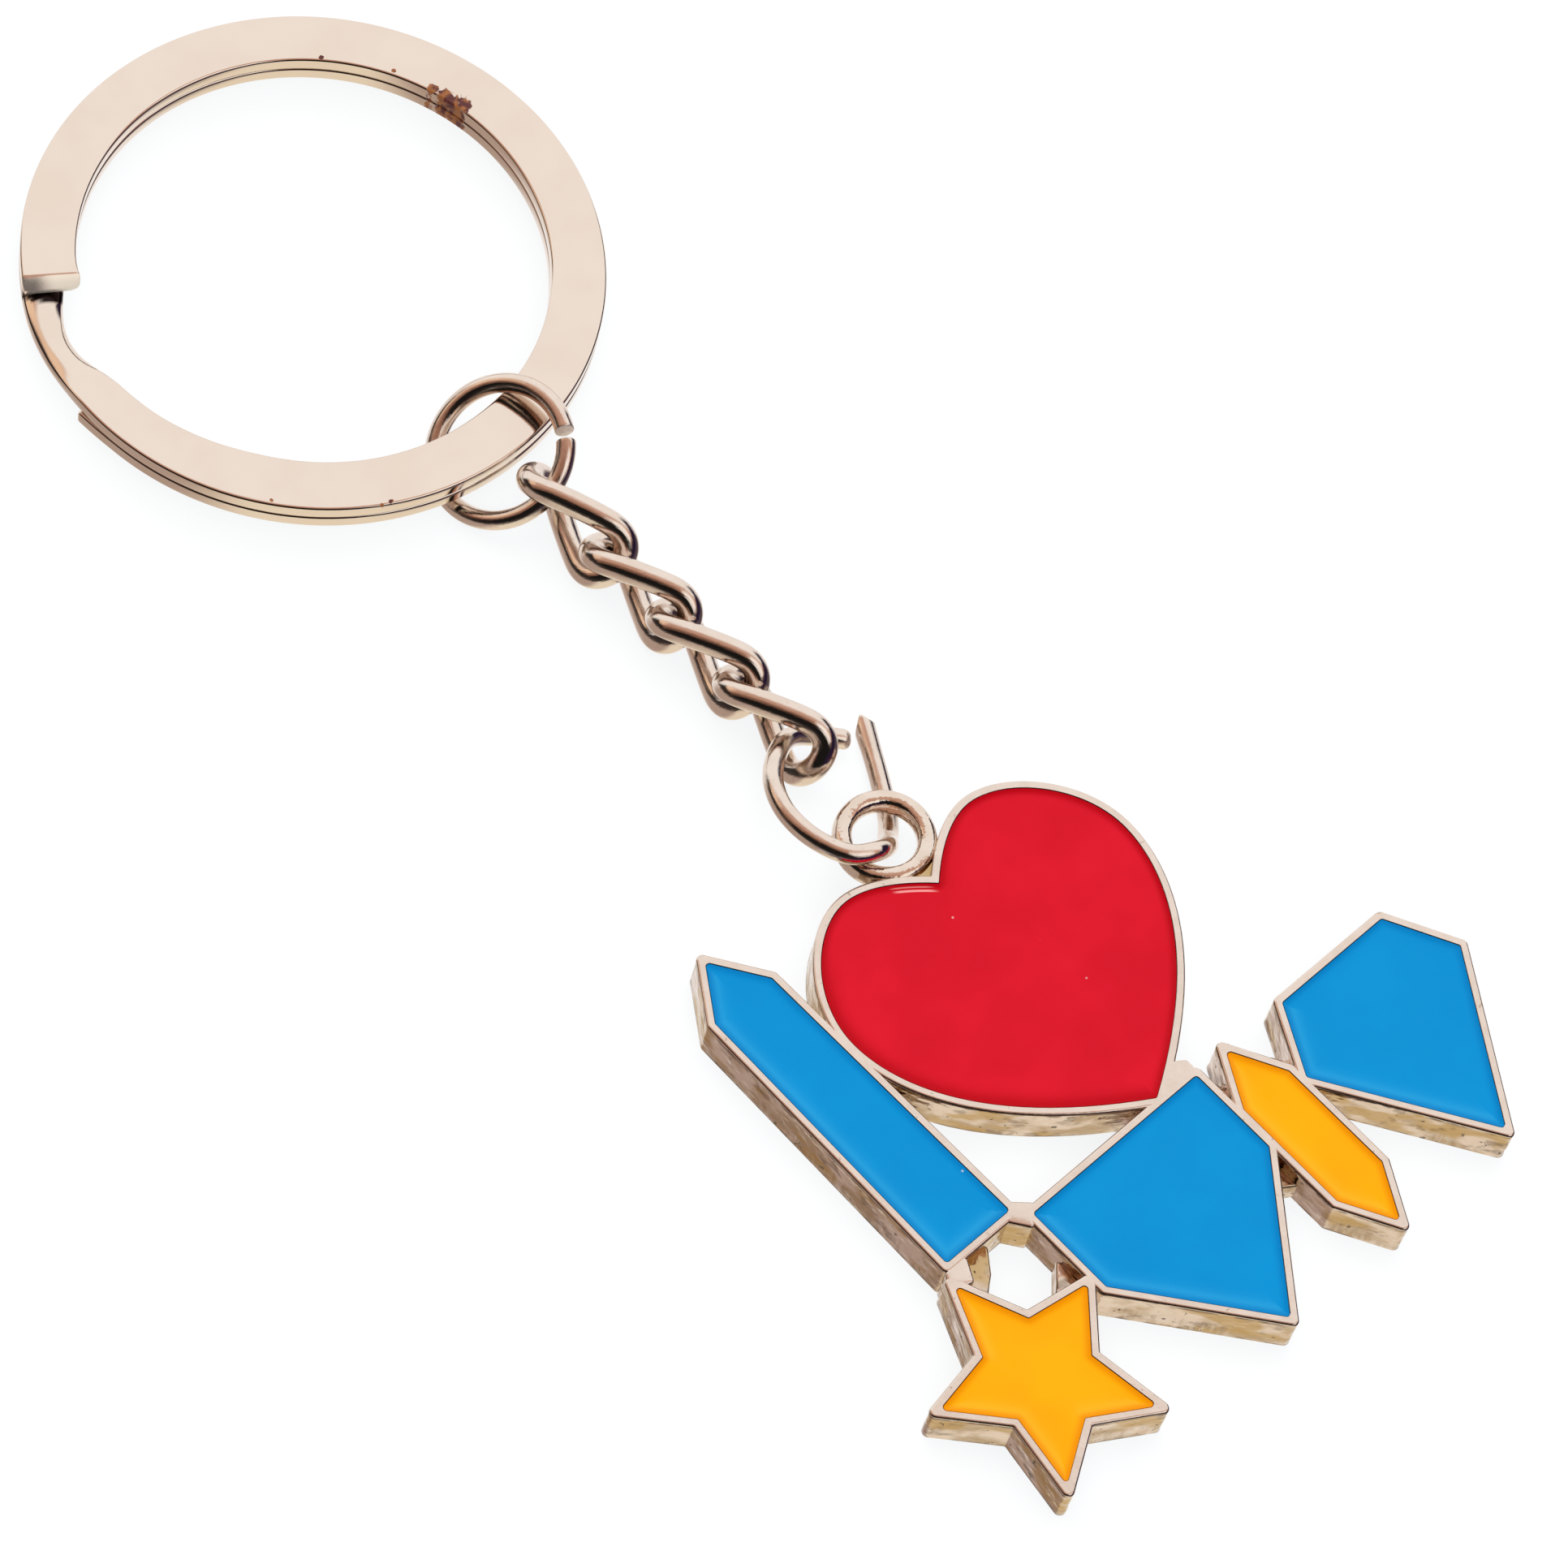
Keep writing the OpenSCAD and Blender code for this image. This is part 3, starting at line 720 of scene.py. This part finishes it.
def end_ring():
    route = [[16.95, 23.9, 0.88], [15.5, 25.2, 1.25], [13.95, 25.6, 2.2], [12.4, 25.0, 2.85],
             [11.2, 24.0, 3.1], [10.45, 22.4, 3.3], [10.45, 20.4, 3.38], [11.3, 18.6, 3.23],
             [12.6, 17.95, 2.96], [13.7, 18.1, 2.0], [14.35, 18.6, 1.05], [15.3, 19.4, 0.58],
             [16.35, 20.9, 0.55], [18.35, 24.4, 0.6]]
    path = smooth_path(spline(route, 16) + D, 10, False)
    path = np.vstack([path, path[-1] + nrm(path[-1] - path[-2]) * 0.12, path[-1] + nrm(path[-1] - path[-2]) * 0.24])
    # the pointed end is nipped from two sides, the other one is worn round
    left = nrm(np.array([-0.80, 0.45, -0.35]))
    tilt = nrm(np.array([0.3, 0.1, 1.0]))

    def nipped(o):
        c = float(np.dot(o, left))
        return (1.0 * c if c > 0 else 0.50 * -c) + 0.12 * max(0.0, float(np.dot(o, tilt)))

    ob = wire("end_ring_wire", path, 0.525, np.array([13.5, 21.5, 1.5]) + D, sides=40,
              ends=((0.34, lambda o: 0.10 * max(0.0, float(o[2]))), (0.03, nipped)), seed=21.0, swell=0.04)
    add(ob, "end_ring", "end_ring")


end_ring()


# ------------------------------------------------------------------ charm
T = 2.5
RIM, POCKET = 0.45, 0.5


def bez(p, t):
    p = np.asarray(p, float)
    t = np.asarray(t)[:, None]
    return (1 - t) ** 3 * p[0] + 3 * (1 - t) ** 2 * t * p[1] + 3 * (1 - t) * t * t * p[2] + t ** 3 * p[3]


def grow(p, d):
    p = np.asarray(p, float)
    a = nrm(p - np.roll(p, 1, 0))
    b = nrm(np.roll(p, -1, 0) - p)
    na = np.stack([a[:, 1], -a[:, 0]], 1)
    nb = np.stack([b[:, 1], -b[:, 0]], 1)
    k = 1 + (na * nb).sum(1, keepdims=True)
    return p + (na + nb) * d / np.maximum(k, 0.35)


def fillet(p, r, seg=5, r_in=None):
    """Rounds the corners of a counterclockwise outline: convex ones with r, the others with r_in."""
    p = np.asarray(p, float)
    n = len(p)
    out = []
    for i in range(n):
        a, b, c = p[i - 1], p[i], p[(i + 1) % n]
        u, v = a - b, c - b
        lu, lv = np.linalg.norm(u), np.linalg.norm(v)
        u, v = u / lu, v / lv
        ang = math.acos(max(-1, min(1, float(u @ v))))
        rr = r if (u[0] * v[1] - u[1] * v[0]) < 0 else (r if r_in is None else r_in)
        if ang > math.radians(172) or rr <= 0:
            out.append(b)
            continue
        d = min(rr / math.tan(ang / 2), 0.45 * lu, 0.45 * lv)
        rr = d * math.tan(ang / 2)
        cen = b + (u + v) / np.linalg.norm(u + v) * rr / math.sin(ang / 2)
        p0, p1 = b + u * d - cen, b + v * d - cen
        t0, t1 = math.atan2(p0[1], p0[0]), math.atan2(p1[1], p1[0])
        dt = (t1 - t0 + math.pi) % (2 * math.pi) - math.pi
        k = max(2, int(seg * abs(dt) / math.radians(60)) + 1)
        for j in range(k + 1):
            t = t0 + dt * j / k
            out.append(cen + rr * np.array([math.cos(t), math.sin(t)]))
    return np.array(out)


def dense(p, step):
    """Splits long edges so that none is over step."""
    out = []
    n = len(p)
    for i in range(n):
        a, b = p[i], p[(i + 1) % n]
        k = max(1, int(math.ceil(np.linalg.norm(b - a) / step)))
        out += [a + (b - a) * j / k for j in range(k)]
    return np.array(out)


HX = 13.95
heart_half = np.vstack([
    bez([[0, -0.45], [8.159, 4.209], [9.43, 8.875], [9.43, 11.2]], np.arange(28) / 28),
    bez([[9.43, 11.2], [9.43, 14.229], [6.587, 17.05], [4.3, 17.05]], np.arange(24) / 24),
    bez([[4.3, 17.05], [2.9, 17.05], [1.3, 16.0], [0, 14.8]], np.arange(17) / 16)])


def heart(d):
    """The heart's outline grown by d, sharp at its point and notch."""
    h = heart_half
    e = np.gradient(h, axis=0)
    e = nrm(e)
    q = h + np.stack([e[:, 1], -e[:, 0]], 1) * d
    if d > 0:
        # run the curve on to the middle line at the point, and trim it there at the notch
        k = q[0] - e[0] * (q[0][0] / e[0][0])
        q = np.vstack([k, q])
    keep = [q[0]]
    for i in range(1, len(q)):
        if q[i][0] < 0 and i > 5:
            a, b = q[i - 1], q[i]
            keep.append(a + (b - a) * a[0] / (a[0] - b[0]))
            break
        keep.append(q[i])
    q = np.array(keep)
    q[0][0] = q[-1][0] = 0
    mir = q[1:-1][::-1] * [-1, 1]
    return np.vstack([q, mir]) + [HX, 0]


star_c = np.array([-0.72, -7.05])
FIELDS = {
    "obelisk": np.array([[-0.15, 0], [4.1, 0], [3.9, 16.4], [2.0, 19.1], [0.1, 16.4]]),
    "star": np.array([star_c + [5.25 * k * math.cos(a), 5.95 * k * math.sin(a)]
                      for i in range(10) for k, a in ((1 if i % 2 == 0 else 0.5, math.radians(90 + 36 * i)),)]),
    "shield": np.array([[4.9, -0.9], [4.9, -5.9], [10.6, -12.85], [16.3, -5.9], [16.3, -0.9]]),
    "lozenge": np.array([[18.42, -0.9], [16.82, -3.7], [16.82, -10.1], [18.42, -12.85], [20.02, -10.1], [20.02, -3.7]]),
    "gem": np.array([[22.5, -0.9], [20.5, -4.5], [26.1, -12.85], [31.7, -4.5], [29.7, -0.9]]),
}
BRIDGES = [[[3.5, -0.3], [4.4, -1.5], [5.4, -0.5], [4.4, 0.4]],
           [[13.8, -0.8], [16.6, -0.8], [16.6, 0.05], [15.9, 0.5], [14.0, -0.1]],
           [[-0.6, -0.3], [-1.1, -1.2], [0.2, -1.6], [0.9, -0.3]]]
WEBS = [[[-0.2, -0.3], [0.35, -2.6], [1.6, -1.6], [2.6, -0.3]],
        [[4.7, -2.9], [3.4, -4.2], [2.6, -4.6], [4.7, -4.9]],
        [[16.6, -0.9], [16.7, -3.6], [17.6, -2.6], [17.2, -1.2]],
        [[19.6, -3.2], [20.4, -4.6], [21.2, -3.4], [20.4, -2.2]],
        [[16.1, -6.4], [16.9, -5.8], [16.9, -8.4], [15.4, -7.5]]]


def ccw(p):
    p = np.asarray(p, float)
    x, y = p[:, 0], p[:, 1]
    return p if (x * np.roll(y, -1) - y * np.roll(x, -1)).sum() > 0 else p[::-1]


def stack(outline, levels, wave=0.0, seed=0.0, dome=0.0):
    """Closed solid from an outline at several (height, inset) levels. Returns verts, faces in the charm frame."""
    o = ccw(outline)
    verts, faces = [], []
    n = len(o)
    gn = grow(o, 1.0) - o
    for z, inset in levels:
        q = o - gn * inset
        for i in range(n):
            w = 0.0
            if wave and 0.2 < z < T - 0.3:
                w = wave * (noise.noise(Vector((q[i][0] * 1.1, q[i][1] * 1.1, z * 1.3 + seed)))
                            + 0.6 * noise.noise(Vector((q[i][0] * 2.9, q[i][1] * 2.9, z * 0.7 + seed)))) - wave * 0.5
            g = gn[i]
            verts.append((q[i][0] + g[0] * w, q[i][1] + g[1] * w, z))
    for k in range(len(levels) - 1):
        for i in range(n):
            j = (i + 1) % n
            faces.append((k * n + i, k * n + j, (k + 1) * n + j, (k + 1) * n + i))
    faces.append(tuple(reversed(range(n))))
    faces.append(tuple((len(levels) - 1) * n + i for i in range(n)))
    return verts, faces


def temp(name, vf):
    verts, faces = vf
    me = bpy.data.meshes.new(name)
    me.from_pydata([tuple(v) for v in verts], [], faces)
    me.validate()
    ob = bpy.data.objects.new(name, me)
    bpy.context.scene.collection.objects.link(ob)
    return ob


def boolean(target, others, op):
    solver = "MANIFOLD" if "MANIFOLD" in bpy.types.BooleanModifier.bl_rna.properties["solver"].enum_items.keys() else "EXACT"
    for o in others:
        m = target.modifiers.new("b", "BOOLEAN")
        m.object, m.operation, m.solver = o, op, solver
    dg = bpy.context.evaluated_depsgraph_get()
    me = bpy.data.meshes.new_from_object(target.evaluated_get(dg))
    target.modifiers.clear()
    old = target.data
    target.data = me
    bpy.data.meshes.remove(old)
    for o in others:
        mesh = o.data
        bpy.data.objects.remove(o)
        bpy.data.meshes.remove(mesh)
    return target


def arc_levels(z, r, up, seg=4):
    """(height, inset) pairs round an edge of radius r that ends at height z."""
    out = []
    for i in range(seg + 1):
        a = math.pi / 2 * i / seg
        out.append((z - r + r * math.sin(a) if up else z + r - r * math.sin(a), r - r * math.cos(a)))
    return out if up else out[::-1]


def charm():
    edge_top, edge_low = 0.15, 0.10
    walls = [0.35, 0.6, 0.85, 1.1, 1.35, 1.6, 1.85, 2.1]
    levels = arc_levels(0, edge_low, False, 2) + [(z, 0) for z in walls] + arc_levels(T, edge_top, True, 5)
    bodies = []
    for i, (name, p) in enumerate(FIELDS.items()):
        outer = dense(fillet(grow(ccw(p), RIM), 0.34, 4, 0.12), 0.3)
        bodies.append(temp("t_" + name, stack(outer, levels, 0.035, i * 7.7)))
    h = dense(fillet(heart(RIM), 0.30, 3, 0.05), 0.3)
    bodies.insert(0, temp("t_heart", stack(h, levels, 0.03, 3.3)))
    for i, w in enumerate(WEBS):
        o = dense(fillet(ccw(w), 0.15, 3), 0.3)
        lv = arc_levels(0.10, 0.08, False, 2) + [(z, 0) for z in (0.45, 0.75)] + arc_levels(1.4, 0.14, True, 3)
        bodies.append(temp("t_web%d" % i, stack(o, lv, 0.03, i * 3.1)))
    for i, w in enumerate(BRIDGES):
        o = dense(fillet(ccw(w), 0.2, 3), 0.3)
        bodies.append(temp("t_bridge%d" % i, stack(o, levels, 0.02, i * 2.3)))
    neck = dense(fillet(np.array([[12.6, 15.2], [15.3, 15.2], [15.1, 16.5], [12.8, 16.5]]), 0.15, 3), 0.3)
    bodies.append(temp("t_neck", stack(neck, arc_levels(0.02, 0.08, False, 2) + [(0.7, 0), (1.4, 0)] + arc_levels(2.08, 0.12, True, 3))))
    # eyelet: a ring of rounded section
    verts, faces = [], []
    n, k = 96, 20
    for i in range(n):
        a = 2 * math.pi * i / n
        for j in range(k):
            b = 2 * math.pi * j / k
            cx, cz = math.cos(b), math.sin(b)
            x = 2.145 + 0.505 * math.copysign(abs(cx) ** 0.78, cx)
            z = 1.875 + 0.625 * math.copysign(abs(cz) ** 0.80, cz)
            verts.append((13.85 + x * math.cos(a), 18.5 + x * math.sin(a), z))
    for i in range(n):
        for j in range(k):
            faces.append((i * k + j, ((i + 1) % n) * k + j, ((i + 1) % n) * k + (j + 1) % k, i * k + (j + 1) % k))
    bodies.append(temp("t_eyelet", (verts, faces)))
    main = bodies[0]
    boolean(main, bodies[1:], "UNION")
    cuts = []
    z0 = T - POCKET
    lv = [(z0, 0), (T - 0.07, 0), (T - 0.045, -0.006), (T - 0.022, -0.022), (T - 0.004, -0.045), (T + 0.2, -0.06)]
    for name, p in list(FIELDS.items()) + [("heart", None)]:
        o = heart(0) if p is None else ccw(p)
        o = dense(fillet(o, 0.16, 3, 0.10), 0.4)
        cuts.append(temp("c_" + name, stack(o, lv)))
    boolean(main, cuts, "DIFFERENCE")
    me = main.data
    me.transform(Matrix.Translation(Vector(D)))
    me.transform(Matrix.Scale(MM, 4))
    for m in (FACE, SIDES, BACK, EYELET):
        me.materials.append(m)
    while len(me.materials) > 4:
        me.materials.pop(index=0)
    idx = []
    for f in me.polygons:
        nz, cz = f.normal.z, f.center.z / MM
        if (Vector((f.center.x / MM - D[0], f.center.y / MM - D[1])) - Vector((13.85, 18.5))).length < 2.66:
            idx.append(3)
        elif nz < -0.8:
            idx.append(2)
        elif nz > 0.22 and cz > 2.2:
            idx.append(0)
        else:
            idx.append(1)
    me.polygons.foreach_set("material_index", idx)
    me.polygons.foreach_set("use_smooth", [True] * len(me.polygons))
    me.update()
    main.name = "charm_casting"
    me.name = "charm_casting"
    import bmesh
    bm = bmesh.new()
    bm.from_mesh(me)
    bmesh.ops.remove_doubles(bm, verts=bm.verts, dist=2e-6)
    bmesh.ops.dissolve_degenerate(bm, dist=2e-6, edges=bm.edges)
    for e in bm.edges:
        if len(e.link_faces) == 2 and e.calc_face_angle(0) > math.radians(38):
            e.smooth = False
    bm.to_mesh(me)
    bm.free()
    m = main.modifiers.new("normals", "WEIGHTED_NORMAL")
    m.keep_sharp, m.weight = True, 80
    return add(main, "charm", "charm_body")


charm()


def inside(p, poly):
    x, y = p[:, 0][:, None], p[:, 1][:, None]
    a, b = poly, np.roll(poly, -1, 0)
    c = ((a[:, 1] > y) != (b[:, 1] > y)) & (x < (b[:, 0] - a[:, 0]) * (y - a[:, 1]) / (b[:, 1] - a[:, 1] + 1e-12) + a[:, 0])
    return c.sum(1) % 2 == 1


def edge_distance(p, poly):
    a, b = poly[None], np.roll(poly, -1, 0)[None]
    q = p[:, None]
    t = ((q - a) * (b - a)).sum(2) / np.maximum(((b - a) ** 2).sum(2), 1e-12)
    t = np.clip(t, 0, 1)[..., None]
    return np.linalg.norm(q - (a + t * (b - a)), axis=2).min(1)


def enamel(name, outline, mat, seed):
    """Soft enamel: it climbs a little at the rim and is sunk in the middle."""
    o = ccw(outline)
    o = dense(fillet(o, 0.16, 3, 0.10), 0.14)
    o = o - (grow(o, 1.0) - o) * 0.006
    lo, hi = o.min(0), o.max(0)
    pts = []
    for step, keep in ((0.11, lambda d: (d > 0.05) & (d < 0.95)), (0.42, lambda d: d >= 0.95)):
        gx, gy = np.meshgrid(np.arange(lo[0], hi[0], step), np.arange(lo[1], hi[1], step * 0.866))
        gx = gx + (np.arange(gx.shape[0]) % 2)[:, None] * step / 2
        g = np.stack([gx.ravel(), gy.ravel()], 1)
        g = g[inside(g, o)]
        d = np.concatenate([edge_distance(g[i:i + 4000], o) for i in range(0, len(g), 4000)]) if len(g) else np.zeros(0)
        pts.append(g[keep(d)])
    inner = np.vstack(pts)
    allp = np.vstack([o, inner])
    n = len(o)
    edges = [(i, (i + 1) % n) for i in range(n)]
    vo, _, fo, _, _, _ = delaunay_2d_cdt([Vector(q) for q in allp], edges, [], 1, 1e-6)
    v = np.array([tuple(q) for q in vo])
    d = np.concatenate([edge_distance(v[i:i + 4000], o) for i in range(0, len(v), 4000)])
    climb = np.exp(-d / 0.20)
    z = T - 0.105 + 0.075 * climb + 0.022 * np.clip((d - 0.3) / 3.0, 0, 1)
    z += np.array([0.006 * noise.noise(Vector((q[0] * 0.5, q[1] * 0.5, seed))) for q in v]) * np.clip(d / 0.6, 0, 1)
    verts = [(q[0], q[1], h) for q, h in zip(v, z)]
    faces = []
    for f in fo:
        a, b, c = (v[k] for k in f[:3])
        s = (b[0] - a[0]) * (c[1] - a[1]) - (b[1] - a[1]) * (c[0] - a[0])
        faces.append(tuple(f) if s > 0 else tuple(reversed(f)))
    # find the boundary loop again, as the triangulation may renumber it
    from collections import Counter
    cnt = Counter()
    direct = {}
    for f in faces:
        for k in range(len(f)):
            a, b = f[k], f[(k + 1) % len(f)]
            cnt[frozenset((a, b))] += 1
            direct[(a, b)] = True
    rim = {a: b for (a, b) in direct if cnt[frozenset((a, b))] == 1}
    start = next(iter(rim))
    loop, k = [start], rim[start]
    while k != start and len(loop) < len(rim) + 2:
        loop.append(k)
        k = rim[k]
    base = len(verts)
    zb = T - POCKET + 0.004
    for k in loop:
        verts.append((v[k][0], v[k][1], zb))
    m = len(loop)
    for i in range(m):
        j = (i + 1) % m
        faces.append((loop[i], base + i, base + j, loop[j]))
    faces.append(tuple(base + i for i in reversed(range(m))))
    ob = make("fill_" + name, np.array(verts) + D, faces, [mat])
    att = ob.data.attributes.new("edge", "FLOAT", "POINT")
    e = np.concatenate([np.exp(-(d / 0.50) ** 1.2), np.ones(m)])
    att.data.foreach_set("value", e.astype(np.float32))
    # how much the nearest edge faces the charm's lower left: 1 there, -1 at the far side
    a, c = o[None], np.roll(o, -1, 0)[None]
    out = []
    for i in range(0, len(v), 4000):
        q = v[i:i + 4000, None]
        w = np.clip(((q - a) * (c - a)).sum(2) / np.maximum(((c - a) ** 2).sum(2), 1e-12), 0, 1)[..., None]
        foot = a + w * (c - a)
        k = np.linalg.norm(q - foot, axis=2).argmin(1)
        nb = np.roll(o, -1, 0)[k] - o[k]
        nb = np.stack([nb[:, 1], -nb[:, 0]], 1)
        out.append((nrm(nb) * np.array([-0.85, -0.53])).sum(1))
    sd = np.concatenate(out + [np.zeros(m)])
    att = ob.data.attributes.new("side", "FLOAT", "POINT")
    att.data.foreach_set("value", sd.astype(np.float32))
    import bmesh
    bm = bmesh.new()
    bm.from_mesh(ob.data)
    for ed in bm.edges:
        if len(ed.link_faces) == 2 and ed.calc_face_angle(0) > math.radians(50):
            ed.smooth = False
    bm.to_mesh(ob.data)
    bm.free()
    return add(ob, "charm", "enamel_" + name)


enamel("heart", heart(0), RED, 1.0)
enamel("obelisk", FIELDS["obelisk"], BLUE, 2.0)
enamel("star", FIELDS["star"], YELLOW, 3.0)
enamel("shield", FIELDS["shield"], BLUE, 4.0)
enamel("lozenge", FIELDS["lozenge"], YELLOW, 5.0)
enamel("gem", FIELDS["gem"], BLUE, 6.0)

# ------------------------------------------------------------------ display
bpy.context.scene.view_settings.view_transform = "Standard"
bpy.context.scene.view_settings.look = "None"
bpy.context.view_layer.update()
